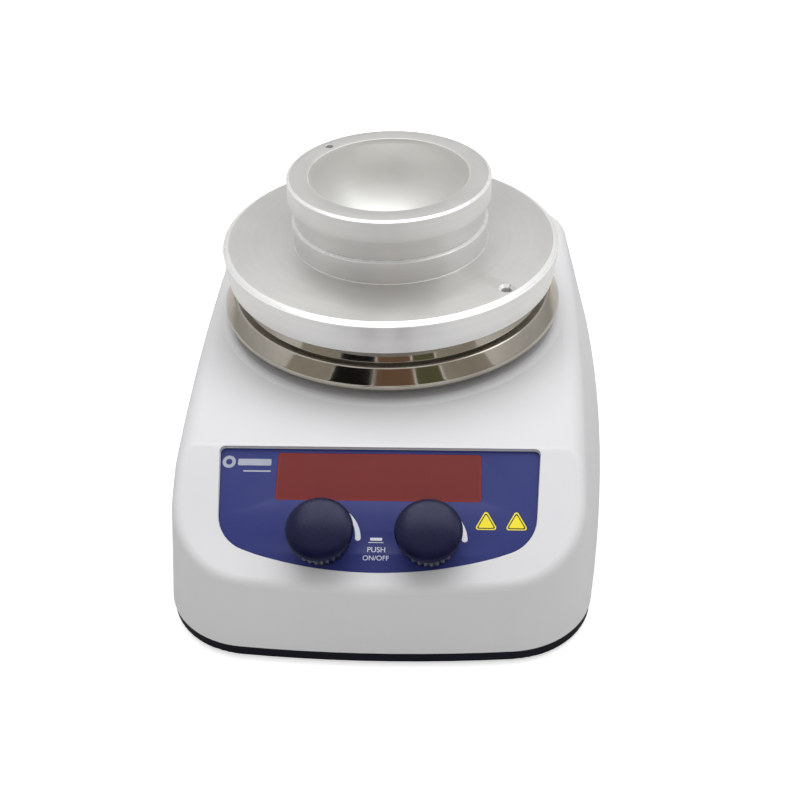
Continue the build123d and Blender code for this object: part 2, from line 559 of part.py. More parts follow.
frame = beside(SWITCH_X, REAR_Z, 11, 13.5, REAR_Y, FACE)
frame = fillet(frame.edges().filter_by(Axis.Y), 1.5)
frame += beside(SWITCH_X, REAR_Z, 9, 11.5, SWITCH_BACK, REAR_Y)
parts["switch_frame"] = frame - beside(SWITCH_X, REAR_Z, SWITCH_HALF_W, SWITCH_HALF_H, SWITCH_BACK + 3, FACE)


def rocker():
    """Rocker bar with a shallow V face, tilted to its off side."""
    tip = ROCKER_FACE + ROCKER_R * tan(radians(ROCK))
    with BuildSketch(Plane.YZ) as sk:
        Circle(ROCKER_R)
        with BuildLine():
            Polyline((ROCKER_BACK, -2 * ROCKER_R), (ROCKER_FACE, -2 * ROCKER_R), (tip, -ROCKER_R),
                     (ROCKER_FACE, 0), (tip, ROCKER_R), (ROCKER_FACE, 2 * ROCKER_R),
                     (ROCKER_BACK, 2 * ROCKER_R), close=True)
        make_face(mode=Mode.INTERSECT)
    bar = Rot(-ROCK, 0, 0) * extrude(sk.sketch, ROCKER_HALF_W, both=True)
    return Pos(SWITCH_X, PIVOT_Y, REAR_Z) * bar


parts["power_rocker"] = rocker()

socket = rod_y(PROBE_R, REAR_Y, FACE + 0.5, PROBE_X, REAR_Z) + rod_y(PROBE_BODY_R, 106, REAR_Y, PROBE_X, REAR_Z)
parts["probe_socket"] = socket - rod_y(PROBE_BORE_R, PROBE_FLOOR_Y, FACE + 1, PROBE_X, REAR_Z)
pin_angles = [radians(90 + i * 360 / PROBE_PINS) for i in range(PROBE_PINS)]
parts["probe_pins"] = [rod_y(PROBE_PIN_R, PROBE_FLOOR_Y, PROBE_FLOOR_Y + PROBE_PIN_L,
                             PROBE_X + PROBE_PIN_PCR * cos(a), REAR_Z + PROBE_PIN_PCR * sin(a)) for a in pin_angles]
rod_bush = cyl(ROD_BUSH_R, DECK_Z - 14, DECK_Z, ROD_X, ROD_Y)
rod_bush += cyl(ROD_FLANGE_R, DECK_Z, DECK_Z + ROD_FLANGE_H, ROD_X, ROD_Y)
parts["rod_bush"] = rod_bush - cyl(ROD_HOLE_R, DECK_Z - 12, DECK_Z + 2, ROD_X, ROD_Y)

# ---------------------------------------------------------------- output
os.makedirs("parts", exist_ok=True)
for node, shape in parts.items():
    if isinstance(shape, list):
        shape = Compound(children=[s.solid() if isinstance(s, Part) and len(s.solids()) == 1 else s
                                   for s in shape])
    shape.label = node
    export_step(shape, f"parts/{node}.step")
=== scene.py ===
from math import acos, cos, pi, radians, sin, tan

import bmesh
import bpy
from mathutils import Matrix, Vector


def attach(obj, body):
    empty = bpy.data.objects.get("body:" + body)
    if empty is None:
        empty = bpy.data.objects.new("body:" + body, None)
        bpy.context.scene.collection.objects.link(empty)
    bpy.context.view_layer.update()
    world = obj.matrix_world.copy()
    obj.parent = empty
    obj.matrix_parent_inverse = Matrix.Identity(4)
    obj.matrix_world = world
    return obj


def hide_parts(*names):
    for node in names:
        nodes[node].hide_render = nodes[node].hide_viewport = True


# Looks of the hotplate stirrer.  Blender works in metres.  The object's own sizes are in millimetres, turned
# pieces are given as radius and height, and the panel has its own u (across) and v (down the slope).
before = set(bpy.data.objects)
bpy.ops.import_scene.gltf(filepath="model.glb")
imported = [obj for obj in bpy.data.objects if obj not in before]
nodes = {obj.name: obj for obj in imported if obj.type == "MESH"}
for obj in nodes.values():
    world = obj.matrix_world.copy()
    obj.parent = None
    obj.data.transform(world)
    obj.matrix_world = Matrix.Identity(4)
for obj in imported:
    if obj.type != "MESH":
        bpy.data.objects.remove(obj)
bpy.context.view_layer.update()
scene = bpy.context.scene

MM = 0.001
AXIS_Y = 22.0                           # plate axis
TURN_STEPS = 256                        # facets round a turned piece
SMOOTH_ANGLE = 30.0                     # edges sharper than this stay crisp

# stainless plate
PLATE_Z = 83.3                          # flat top
SHEET = 0.8                             # thickness of the sheet
FACE_R = 57.6
TIER_R = 63.9
FLANGE_R, FLANGE_Z = 67.0, 75.0
SKIRT_R, SKIRT_WIDE_Z = 71.4, 68.9
SKIRT_LIP_R, SKIRT_Z = 69.7, 67.2

# heating block: disc with a step and a socket, and the insert that stands in it
DISC_Z = 97.3
DISC_FOOT_R, DISC_R = 69.0, 70.5
DISC_CHAMFER = (2.45, 1.3)              # inwards, downwards
STEP_R, STEP_Z = 40.9, 107.4
STEP_CHAMFER = (1.55, 0.82)
SOCKET_R, SOCKET_Z = 36.05, 89.9
FOOT_R, FOOT_Z = 35.95, 90.2
SEAT_GAP = 0.02                         # between the insert's shoulder and the step
NECK_R = 39.7
RING_R, RING_LOW_Z, RING_Z = 42.0, 116.3, 125.7
RING_CHAMFER = (1.25, 0.66)
BOWL_R = 32.6
BOWL_MOUTH = 2.5                        # degrees of the half circle cut off by the mouth's rounded edge
BOWL_STEPS = 40
BOWL_EDGE = 0.45
HANDLE_HOLE = (47.8, -21.0)
PROBE_HOLE = (-26.6, AXIS_Y + 25.3)
HOLE_STEPS = 64

# knobs, measured up from the panel
KNOB_X, KNOB_V = 19.45, 37.4
KNOB_R = 12.3
KNOB_FOOT_R, KNOB_FOOT_Z = 9.6, 1.3
KNOB_NECK_R, KNOB_NECK_Z = 9.5, 5.6
GRIP_LOW_R, GRIP_LOW = 11.3, 6.6
GRIP_HIGH_R, GRIP_HIGH = 11.95, 12.6
DOME_Z, DOME_RISE, DOME_STEPS = 12.7, 2.9, 16
DOME_START = 88.0                       # degrees from the knob's axis
FLUTES = 30
FLUTE_DEPTH, FLUTE_FADE = 0.95, 0.5
FLUTED_FROM_R = 10
KNOB_STEPS = 480

# front panel
PANEL_Y, PANEL_Z = -76.5, 59.5          # middle of the panel's upper edge
PANEL_SLOPE = radians(26.3)
PANEL_TOP_HALF, PANEL_TOP_CORNER = 60.2, 2.0
PANEL_LOW_HALF, PANEL_LOW_CORNER = 57.8, 15.0
PANEL_SIDE, PANEL_DEPTH = 37.3, 48.8    # length of the straight sides, and of the middle
PANEL_ARC_STEPS = 48
BUSH_R = 3.7
WINDOW_V = 11.2                         # middle of the display window
WINDOW_HALF_W, WINDOW_HALF_V = 38.2, 9.6
WINDOW_CORNER = 1.2
RED_RIM = 0.9                           # brighter edge of the window
CIRCLE_STEPS = 48
INK = 0.05                              # thickness of the print
INK_RAISED = 0.08
SCALE_R, SCALE_SPREAD = 14.0, 1.3       # crescent beside a knob: radius below, and its growth above
SCALE_WIDTH = 2.1
SCALE_CAP_R = 1.05
MARK = (-56.6, -5.6)                    # ring of the plain mark

# studio, in metres
FLOOR_SIZE = 60
FLOOR_GLOW = 0.55
MIDDLE = (0, 0, 0.07)                   # what the lamps point at
CARD_Y = -0.53
CARD_LOW, CARD_HIGH = 0.16, 0.66
WIDE_CARD_LOW, WIDE_CARD_HIGH = 0.1, 1.1
FRONT_GLOW = (0.70, 0.69, 0.67, 1)
BACK_GLOW = (0.40, 0.40, 0.39, 1)
TOP_GLOW = (0.80, 0.80, 0.80, 1)


# ---------------------------------------------------------------- materials
def rgb(red, green, blue):
    """Linear colour from display values of 0 to 255."""
    def linear(value):
        value /= 255
        return value / 12.92 if value <= 0.04045 else ((value + 0.055) / 1.055) ** 2.4
    return (linear(red), linear(green), linear(blue), 1.0)


class Look:
    """A procedural material in object space, with its coordinates in millimetres."""

    def __init__(self, name, metallic=0.0, specular=0.5):
        self.material = bpy.data.materials.new("look_" + name)
        self.material.use_nodes = True
        self.tree = self.material.node_tree
        self.shader = self.tree.nodes["Principled BSDF"]
        self.shader.inputs["Metallic"].default_value = metallic
        self.shader.inputs["Specular IOR Level"].default_value = specular
        place = self.node("ShaderNodeTexCoord").outputs["Object"]
        self.place = self.vector("SCALE", place, scale=1 / MM)

    def node(self, kind, **settings):
        made = self.tree.nodes.new(kind)
        for key, value in settings.items():
            setattr(made, key, value)
        return made

    def put(self, socket, value):
        if isinstance(value, bpy.types.NodeSocket):
            self.tree.links.new(value, socket)
        else:
            socket.default_value = value

    def vector(self, operation, a, b=None, scale=None):
        made = self.node("ShaderNodeVectorMath", operation=operation)
        self.put(made.inputs[0], a)
        if b is not None:
            self.put(made.inputs[1], b)
        if scale is not None:
            self.put(made.inputs["Scale"], scale)
        return made.outputs["Value" if operation == "LENGTH" else "Vector"]

    def math(self, operation, a, b=0.0):
        made = self.node("ShaderNodeMath", operation=operation)
        self.put(made.inputs[0], a)
        self.put(made.inputs[1], b)
        return made.outputs[0]

    def noise(self, size, detail=2.0, at=None, roughness=0.5):
        """Noise whose features are about that many millimetres wide."""
        made = self.node("ShaderNodeTexNoise")
        self.put(made.inputs["Vector"], at or self.place)
        made.inputs["Scale"].default_value = 1 / size
        made.inputs["Detail"].default_value = detail
        made.inputs["Roughness"].default_value = roughness
        return made.outputs["Fac"]

    def stretched(self, x, y, z):
        """Coordinates squeezed along each axis by these factors."""
        return self.vector("MULTIPLY", self.place, (x, y, z))

    def remap(self, value, low, high, to_low=0.0, to_high=1.0):
        made = self.node("ShaderNodeMapRange")
        for socket, item in zip(made.inputs, (value, low, high, to_low, to_high)):
            self.put(socket, item)
        return made.outputs[0]

    def mix(self, share, a, b):
        made = self.node("ShaderNodeMix", data_type="RGBA")
        self.put(made.inputs["Factor"], share)
        self.put(made.inputs["A"], a)
        self.put(made.inputs["B"], b)
        return made.outputs["Result"]

    def round_axis(self):
        """Distance from the plate axis and height, as coordinates for turning marks."""
        split = self.node("ShaderNodeSeparateXYZ")
        moved = self.vector("SUBTRACT", self.place, (0.0, AXIS_Y, 0.0))
        self.put(split.inputs[0], moved)
        flat = self.vector("LENGTH", self.vector("MULTIPLY", moved, (1.0, 1.0, 0.0)))
        joined = self.node("ShaderNodeCombineXYZ")
        self.put(joined.inputs[0], flat)
        self.put(joined.inputs[1], split.outputs[2])
        return joined.outputs[0]

    def set(self, name, value):
        self.put(self.shader.inputs[name], value)
        return self

    def bump(self, height, depth):
        """Relief of that many millimetres."""
        made = self.node("ShaderNodeBump")
        made.inputs["Strength"].default_value = 1.0
        made.inputs["Distance"].default_value = depth * MM
        self.put(made.inputs["Height"], height)
        return self.set("Normal", made.outputs[0])


def moulded(name, colour, shade, rough=0.45, grain=0.35, depth=0.015, specular=0.5, mottle=35.0):
    """Moulded plastic: slow mottling of the colour, a fine grain, uneven sheen."""
    look = Look(name, specular=specular)
    patches = look.remap(look.noise(mottle, 3.0), 0.35, 0.65)
    specks = look.remap(look.noise(grain * 4, 2.0), 0.3, 0.7, 0.0, 0.25)
    tone = look.math("MULTIPLY", look.math("ADD", patches, specks), 0.8)
    look.set("Base Color", look.mix(tone, colour, shade))
    look.set("Roughness", look.remap(look.noise(mottle / 3, 4.0), 0.3, 0.7, rough - 0.05, rough + 0.07))
    look.bump(look.noise(grain, 3.0), depth)
    return look.material


def metal(name, colour, shade, rough=0.3, grain=0.2, depth=0.006, stretch=(1.0, 1.0, 1.0), mottle=12.0):
    """Cast, drawn or plated metal: stretch sets the direction of its marks."""
    look = Look(name, metallic=1.0)
    marks = look.noise(grain, 3.0, look.stretched(*stretch))
    tone = look.remap(look.noise(mottle, 4.0), 0.3, 0.7)
    look.set("Base Color", look.mix(tone, colour, shade))
    look.set("Roughness", look.remap(marks, 0.25, 0.75, rough - 0.06, rough + 0.08))
    look.bump(marks, depth)
    return look.material


def turned_metal(name, colour, shade, rough, groove, depth, streak=0.0, metallic=1.0):
    """Metal turned on a lathe: fine rings about the plate axis, faint smudges and handling marks.
    A streak draws the shine out across the rings."""
    look = Look(name, metallic=metallic)
    rings = look.noise(groove, 2.0, look.round_axis(), 0.6)
    broad = look.noise(groove * 14, 2.0, look.round_axis())
    cloud = look.noise(22.0, 4.0)
    tone = look.math("ADD", look.math("MULTIPLY", broad, 0.5), look.math("MULTIPLY", cloud, 0.5))
    look.set("Base Color", look.mix(look.remap(tone, 0.35, 0.65), colour, shade))
    shine = look.remap(rings, 0.3, 0.7, rough - 0.03, rough + 0.03)
    smudges = look.remap(look.noise(9.0, 5.0), 0.45, 0.75, 0.0, 0.05)
    look.set("Roughness", look.math("ADD", shine, smudges))
    look.bump(look.math("ADD", rings, look.math("MULTIPLY", look.noise(0.25), 0.5)), depth)
    if streak:
        look.set("Anisotropic", streak).set("Anisotropic Rotation", 0.25)
        look.set("Tangent", look.node("ShaderNodeTangent", direction_type="RADIAL", axis="Z").outputs[0])
    return look.material


def printed(name, colour, shade, rough=0.4):
    """Screen-printed ink with a little unevenness."""
    return moulded(name, colour, shade, rough, 0.12, 0.004, 0.4, 6.0)


def circuit_board():
    """Green laminate with lighter copper runs under the solder mask."""
    look = Look("board_green")
    runs = look.node("ShaderNodeTexBrick", offset=0.35, squash=1.6)
    look.put(runs.inputs["Vector"], look.place)
    runs.inputs["Scale"].default_value = 0.16
    runs.inputs["Mortar Size"].default_value = 0.05
    board = look.mix(look.noise(14.0), rgb(16, 74, 42), rgb(24, 92, 50))
    look.set("Base Color", look.mix(runs.outputs["Fac"], board, rgb(58, 128, 66)))
    look.set("Roughness", look.remap(look.noise(5.0), 0.3, 0.7, 0.28, 0.4))
    look.bump(runs.outputs["Fac"], 0.04)
    return look.material


def windings():
    """Enamelled wire laid side by side."""
    look = Look("copper_winding", metallic=1.0)
    wave = look.node("ShaderNodeTexWave", wave_type="BANDS", bands_direction="Z")
    look.put(wave.inputs["Vector"], look.place)
    wave.inputs["Scale"].default_value = 0.9
    wave.inputs["Distortion"].default_value = 1.2
    look.set("Base Color", look.mix(wave.outputs["Fac"], rgb(120, 58, 30), rgb(196, 112, 66)))
    look.set("Roughness", look.remap(look.noise(3.0), 0.3, 0.7, 0.25, 0.4))
    look.bump(wave.outputs["Fac"], 0.15)
    return look.material


def laminations():
    """Stacked steel sheets, seen as fine level lines."""
    look = Look("lamination", metallic=1.0)
    lines = look.noise(0.35, 1.0, look.stretched(0.02, 0.02, 1.0))
    look.set("Base Color", look.mix(lines, rgb(92, 94, 98), rgb(134, 136, 140)))
    look.set("Roughness", look.remap(lines, 0.3, 0.7, 0.35, 0.5))
    look.bump(lines, 0.08)
    return look.material


def wool():
    """Pale mineral fibre board."""
    look = Look("mineral_wool", specular=0.2)
    fibres = look.noise(0.5, 5.0, look.stretched(1.0, 1.0, 0.2), 0.7)
    look.set("Base Color", look.mix(fibres, rgb(206, 198, 178), rgb(234, 228, 212)))
    look.set("Roughness", look.remap(fibres, 0.3, 0.7, 0.85, 0.98))
    look.bump(fibres, 0.5)
    return look.material


def housing_plastic():
    """White moulded housing: very fine spark texture, faint grey specks."""
    look = Look("housing_white", specular=0.45)
    cloud = look.remap(look.noise(60.0, 3.0), 0.3, 0.7)
    base = look.mix(cloud, rgb(213, 213, 215), rgb(209, 209, 211))
    specks = look.remap(look.noise(0.9, 2.0), 0.62, 0.75, 0.0, 0.12)
    look.set("Base Color", look.mix(specks, base, rgb(198, 197, 196)))
    look.set("Roughness", look.remap(look.noise(18.0, 4.0), 0.3, 0.7, 0.42, 0.52))
    look.bump(look.noise(0.45, 3.0), 0.012)
    return look.material


def stainless():
    """Bright pressed stainless sheet with polishing rings, smudges and fine scratches."""
    look = Look("stainless", metallic=1.0)
    rings = look.noise(0.3, 2.0, look.round_axis(), 0.6)
    smears = look.noise(16.0, 5.0, roughness=0.6)
    tone = look.remap(smears, 0.35, 0.7)
    look.set("Base Color", look.mix(tone, rgb(192, 186, 176), rgb(178, 171, 160)))
    shine = look.remap(smears, 0.35, 0.75, 0.045, 0.13)
    look.set("Roughness", look.math("ADD", shine, look.remap(rings, 0.4, 0.8, 0.0, 0.05)))
    scratches = look.noise(0.12, 2.0, look.stretched(1.0, 0.06, 0.5))
    look.bump(look.math("ADD", rings, look.math("MULTIPLY", scratches, 0.4)), 0.0012)
    return look.material


def knob_plastic():
    """Soft-touch navy knob with a faint uneven bloom."""
    look = Look("knob_navy", specular=0.3)
    look.set("Specular Tint", (0.72, 0.75, 1.0, 1.0))
    cloud = look.remap(look.noise(7.0, 4.0), 0.3, 0.7)
    base = look.mix(cloud, rgb(7, 9, 41), rgb(10, 12, 46))
    bloom = look.remap(look.noise(1.6, 3.0), 0.45, 0.8, 0.0, 0.25)
    look.set("Base Color", look.mix(bloom, base, rgb(18, 21, 54)))
    look.set("Roughness", look.remap(look.noise(3.0, 4.0), 0.3, 0.7, 0.25, 0.32))
    look.bump(look.noise(0.18, 3.0), 0.01)
    return look.material


def panel_film():
    """Blue printed film with a fine satin texture."""
    look = Look("panel_blue", specular=0.2)
    cloud = look.remap(look.noise(26.0, 3.0), 0.3, 0.7)
    base = look.mix(cloud, rgb(40, 47, 109), rgb(45, 52, 113))
    dots = look.remap(look.noise(0.3, 1.0), 0.5, 0.8, 0.0, 0.18)
    look.set("Base Color", look.mix(dots, base, rgb(64, 72, 132)))
    look.set("Roughness", look.remap(look.noise(11.0, 4.0), 0.3, 0.7, 0.34, 0.44))
    look.bump(look.noise(0.22, 2.0), 0.006)
    return look.material


def window_film():
    """Dull red display filter, a little brighter along its rim."""
    look = Look("window_red", specular=0.16)
    split = look.node("ShaderNodeSeparateXYZ")
    centre = (0.0, PANEL_Y - WINDOW_V * cos(PANEL_SLOPE), PANEL_Z - WINDOW_V * sin(PANEL_SLOPE))
    turned = look.node("ShaderNodeVectorRotate", rotation_type="X_AXIS")
    look.put(turned.inputs["Vector"], look.vector("SUBTRACT", look.place, centre))
    turned.inputs["Angle"].default_value = -PANEL_SLOPE
    look.put(split.inputs[0], turned.outputs[0])
    across = look.math("SUBTRACT", look.math("ABSOLUTE", split.outputs[0]), WINDOW_HALF_W - RED_RIM)
    down = look.math("SUBTRACT", look.math("ABSOLUTE", split.outputs[1]), WINDOW_HALF_V - RED_RIM)
    rim = look.remap(look.math("MAXIMUM", across, down), 0.0, 0.4)
    cloud = look.noise(9.0, 3.0)
    base = look.mix(cloud, rgb(112, 36, 34), rgb(105, 33, 32))
    look.set("Base Color", look.mix(look.math("MULTIPLY", rim, 0.4), base, rgb(144, 36, 32)))
    look.set("Roughness", look.remap(look.noise(5.0, 3.0), 0.3, 0.7, 0.3, 0.4))
    look.bump(look.noise(0.3, 2.0), 0.004)
    return look.material


looks = {
    "housing_white": housing_plastic(),
    "base_graphite": moulded("base_graphite", rgb(20, 22, 33), rgb(16, 18, 28), 0.6, 0.5, 0.03, 0.12),
    "rubber_black": moulded("rubber_black", rgb(24, 24, 25), rgb(34, 34, 34), 0.75, 0.4, 0.05, 0.3),
    "screw_steel": metal("screw_steel", rgb(150, 150, 152), rgb(118, 118, 122), 0.32, 0.3, 0.01),
    "panel_blue": panel_film(),
    "window_red": window_film(),
    "board_green": circuit_board(),
    "led_grey": moulded("led_grey", rgb(78, 76, 78), rgb(62, 60, 62), 0.5, 0.3, 0.01),
    "encoder_case": metal("encoder_case", rgb(168, 168, 166), rgb(140, 140, 140), 0.35, 0.4, 0.01,
                          (1.0, 0.2, 1.0)),
    "plunger_white": moulded("plunger_white", rgb(214, 212, 204), rgb(198, 196, 188), 0.5),
    "knob_navy": knob_plastic(),
    "stainless": stainless(),
    "cast_aluminium": metal("cast_aluminium", rgb(168, 168, 170), rgb(140, 141, 144), 0.5, 0.6, 0.06),
    "mica": moulded("mica", rgb(170, 148, 108), rgb(132, 112, 80), 0.35, 0.8, 0.03, 0.6, 8.0),
    "mineral_wool": wool(),
    "zinc_sheet": metal("zinc_sheet", rgb(176, 180, 184), rgb(140, 145, 150), 0.38, 3.0, 0.01, mottle=5.0),
    "ceramic": moulded("ceramic", rgb(226, 222, 212), rgb(208, 203, 190), 0.4, 0.4, 0.02, 0.5, 6.0),
    "turned_aluminium": turned_metal("turned_aluminium", rgb(199, 198, 196), rgb(192, 191, 189),
                                     0.42, 0.22, 0.004, metallic=0.85),
    # Lighter copies of the turned aluminium that paint light: brighter streaked sides, a brighter blasted
    # bowl, and near-white chamfers as a painted highlight.
    "turned_rim_lit": turned_metal("turned_rim_lit", rgb(243, 243, 242), rgb(235, 235, 235),
                               0.34, 0.22, 0.003, streak=0.75, metallic=0.72),
    "turned_edge_highlight": turned_metal("turned_edge_highlight", rgb(244, 244, 243), rgb(236, 236, 236), 0.28, 0.22, 0.002,
                                metallic=0.5),
    "turned_bowl_lit": turned_metal("turned_bowl_lit", rgb(233, 233, 231), rgb(225, 225, 223), 0.48, 0.4, 0.004,
                                metallic=0.72),
    "motor_alu": metal("motor_alu", rgb(176, 177, 180), rgb(150, 151, 155), 0.34, 0.25, 0.01),
    "lamination": laminations(),
    "copper_winding": windings(),
    "ferrite": moulded("ferrite", rgb(52, 50, 50), rgb(38, 37, 38), 0.6, 0.3, 0.03, 0.4, 5.0),
    "nickel": metal("nickel", rgb(190, 186, 176), rgb(160, 156, 146), 0.2, 0.2, 0.004, (1.0, 1.0, 0.2)),
    "black_plastic": moulded("black_plastic", rgb(30, 30, 32), rgb(22, 22, 24), 0.42, 0.4, 0.02, 0.5, 12.0),
    "cap_black": moulded("cap_black", rgb(22, 24, 34), rgb(32, 34, 46), 0.3, 0.5, 0.008, 0.5, 6.0),
    "relay_blue": moulded("relay_blue", rgb(38, 84, 148), rgb(32, 72, 130), 0.38, 0.4, 0.01, 0.5, 6.0),
    "terminal_green": moulded("terminal_green", rgb(44, 118, 66), rgb(36, 100, 56), 0.45, 0.4, 0.02,
                              0.5, 6.0),
    "brass": metal("brass", rgb(198, 166, 98), rgb(168, 138, 78), 0.28, 0.2, 0.006),
    "fuse_glass": moulded("fuse_glass", rgb(206, 208, 204), rgb(186, 190, 188), 0.12, 0.6, 0.004, 0.6, 4.0),
    "rocker_black": moulded("rocker_black", rgb(26, 26, 28), rgb(19, 19, 21), 0.3, 0.5, 0.01, 0.5, 8.0),
    "ink_white": printed("ink_white", rgb(214, 216, 228), rgb(204, 207, 220)),
    "ink_yellow": printed("ink_yellow", rgb(238, 220, 26), rgb(228, 210, 20)),
    "ink_dark": printed("ink_dark", rgb(34, 33, 28), rgb(28, 27, 24)),
    "ink_grey": printed("ink_grey", rgb(160, 164, 178), rgb(148, 152, 168)),
}
for node in nodes.values():
    slot_name = node.data.materials[0].name.split(".")[0]
    node.data.materials[0] = looks[slot_name]


def add_mesh(name, mesh, slot, body, replaced=(), sharp=SMOOTH_ANGLE):
    """Put a mesh in the scene as a piece that rides on a body."""
    piece = bpy.data.objects.new(name, mesh)
    scene.collection.objects.link(piece)
    mesh.materials.clear()
    mesh.materials.append(looks[slot])
    mesh.shade_smooth()
    mesh.set_sharp_from_angle(angle=radians(sharp))
    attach(piece, body)
    if replaced:
        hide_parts(*replaced)
    return piece


def rounded(corners, steps=6):
    """Line through (a, b, radius) corners, each turned into an arc of that radius."""
    line = []
    for i, (a, b, radius) in enumerate(corners):
        here = Vector((a, b))
        if radius == 0 or i in (0, len(corners) - 1):
            line.append(here)
            continue
        back = (Vector(corners[i - 1][:2]) - here).normalized()
        ahead = (Vector(corners[i + 1][:2]) - here).normalized()
        half = acos(max(-1.0, min(1.0, back.dot(ahead)))) / 2
        centre = here + (back + ahead).normalized() * (radius / sin(half))
        start = here + back * (radius / tan(half)) - centre
        turn = (pi - 2 * half) * (1 if back.cross(ahead) < 0 else -1)
        for step in range(steps + 1):
            line.append(centre + Matrix.Rotation(turn * step / steps, 2) @ start)
    return line


def parallel(line, offset):
    """The same line moved sideways, for the far face of a sheet."""
    moved = []
    for i, point in enumerate(line):
        run = line[min(i + 1, len(line) - 1)] - line[max(i - 1, 0)]
        moved.append(point + Vector((run.y, -run.x)).normalized() * -offset)
    return moved


def turned_mesh(name, line, radius_of=None, steps=TURN_STEPS):
    """Closed mesh turned about Z from a line of (radius, height) points in millimetres."""
    shape = bmesh.new()
    rings = []
    for radius, height in line:
        if radius < 1e-6:
            rings.append([shape.verts.new((0, 0, height * MM))])
            continue
        ring = []
        for step in range(steps):
            angle = 2 * pi * step / steps
            r = radius_of(radius, height, angle) if radius_of else radius
            ring.append(shape.verts.new((r * cos(angle) * MM, r * sin(angle) * MM, height * MM)))
        rings.append(ring)
    for low, high in zip(rings, rings[1:] + rings[:1]):
        if len(low) == len(high) == 1:
            continue
        for step in range(steps):
            after = (step + 1) % steps
            corners = [low[step % len(low)], low[after % len(low)]]
            corners += [high[after % len(high)], high[step % len(high)]]
            shape.faces.new(list(dict.fromkeys(corners)))
    bmesh.ops.recalc_face_normals(shape, faces=shape.faces)
    mesh = bpy.data.meshes.new(name)
    shape.to_mesh(mesh)
    shape.free()
    return mesh


# The rim, bowl and edge slots hold lighter copies of the turned aluminium: painted light on sides and
# hollows, a painted highlight on chamfers.
RIM, BOWL, EDGE = 1, 2, 3               # material slots of a turned piece, after its satin faces
FACES_OUT, FACES_IN = 0.2, -0.01        # share of a face's normal that points away from the axis
LEVEL = 0.45                            # share that points up, from which a face counts as a chamfer
BOWL_FLOOR = 0.2                        # share of the bowl's radius that is nearly level


def turned_rims(piece):
    """Streaked finish on turned sides and a blasted finish in hollows, both lighter than the flat faces as
    painted light; chamfers in a near-white copy as a painted highlight; satin flat faces.
    """
    mesh = piece.data
    for look in ("turned_rim_lit", "turned_bowl_lit", "turned_edge_highlight"):
        mesh.materials.append(looks[look])
    for face in mesh.polygons:
        middle = face.center - Vector((0, AXIS_Y * MM, 0))
        outward = face.normal.xy.dot(middle.xy.normalized())
        if outward > FACES_OUT:
            face.material_index = RIM if abs(face.normal.z) < LEVEL else EDGE
        elif outward < FACES_IN or middle.xy.length < BOWL_FLOOR * BOWL_R * MM:
            face.material_index = BOWL


def evaluated_mesh(piece):
    """The mesh that a piece or curve shows after its modifiers."""
    return bpy.data.meshes.new_from_object(piece.evaluated_get(bpy.context.evaluated_depsgraph_get()))


def countersunk(top, depth, radius, sink, mouth_r, clear):
    """Line of a cutter for a countersunk hole down from a level face."""
    points = [(0, top - depth), (radius, top - depth), (radius, top - sink)]
    points += [(mouth_r, top + 0.05), (mouth_r, top + clear), (0, top + clear)]
    return [Vector(point) for point in points]


def cut_round(piece, holes):
    """Cut turned holes, each (x, y, line), out of a piece and keep the result as its mesh."""
    for x, y, line in holes:
        cutter = bpy.data.objects.new("cutter", turned_mesh("cutter", line, steps=HOLE_STEPS))
        cutter.location = (x * MM, y * MM, 0)
        scene.collection.objects.link(cutter)
        cut = piece.modifiers.new("hole", "BOOLEAN")
        cut.operation = "DIFFERENCE"
        cut.solver = "EXACT"
        cut.object = cutter
        bpy.context.view_layer.update()
        mesh = evaluated_mesh(piece)
        piece.modifiers.clear()
        piece.data = mesh
        bpy.data.objects.remove(cutter)
    piece.data.shade_smooth()
    piece.data.set_sharp_from_angle(angle=radians(SMOOTH_ANGLE))


def move(mesh, *matrices):
    """The same mesh after these matrices, in turn."""
    for matrix in matrices:
        mesh.transform(matrix)
    return mesh


TO_AXIS = Matrix.Translation((0, AXIS_Y * MM, 0))
PANEL = Matrix.Translation((0, PANEL_Y * MM, PANEL_Z * MM)) @ Matrix.Rotation(PANEL_SLOPE, 4, "X")


# ---------------------------------------------------------------- hot plate and heating block
plate_face = rounded([
    (0, PLATE_Z, 0), (FACE_R, PLATE_Z, 1.2), (TIER_R, FLANGE_Z, 1.3), (FLANGE_R, FLANGE_Z, 0.9),
    (SKIRT_R, SKIRT_WIDE_Z, 1.4), (SKIRT_LIP_R, SKIRT_Z, 0)], 8)
plate_back = [Vector((0, PLATE_Z - SHEET))] + parallel(plate_face, SHEET)[1:]
plate_mesh = turned_mesh("stainless_plate", plate_face + plate_back[::-1])
add_mesh("stainless_plate", move(plate_mesh, TO_AXIS), "stainless", "frame", ["plate_cover"])

disc_line = rounded([
    (0, PLATE_Z, 0), (DISC_FOOT_R, PLATE_Z, 0.4), (DISC_R, DISC_Z - DISC_CHAMFER[1], 0.2),
    (DISC_R - DISC_CHAMFER[0], DISC_Z, 0.25), (STEP_R, DISC_Z, 0.3), (STEP_R, STEP_Z - STEP_CHAMFER[1], 0.2),
    (STEP_R - STEP_CHAMFER[0], STEP_Z, 0.2), (SOCKET_R, STEP_Z, 0.2), (SOCKET_R, SOCKET_Z, 0),
    (0, SOCKET_Z, 0)], 4)
disc_mesh = turned_mesh("block_disc", disc_line)
disc = add_mesh("block_disc", move(disc_mesh, TO_AXIS), "turned_aluminium", "block", ["block_base"])
cut_round(disc, [(*HANDLE_HOLE, countersunk(DISC_Z, 9, 2.1, 1.1, 3.25, 2))])
turned_rims(disc)

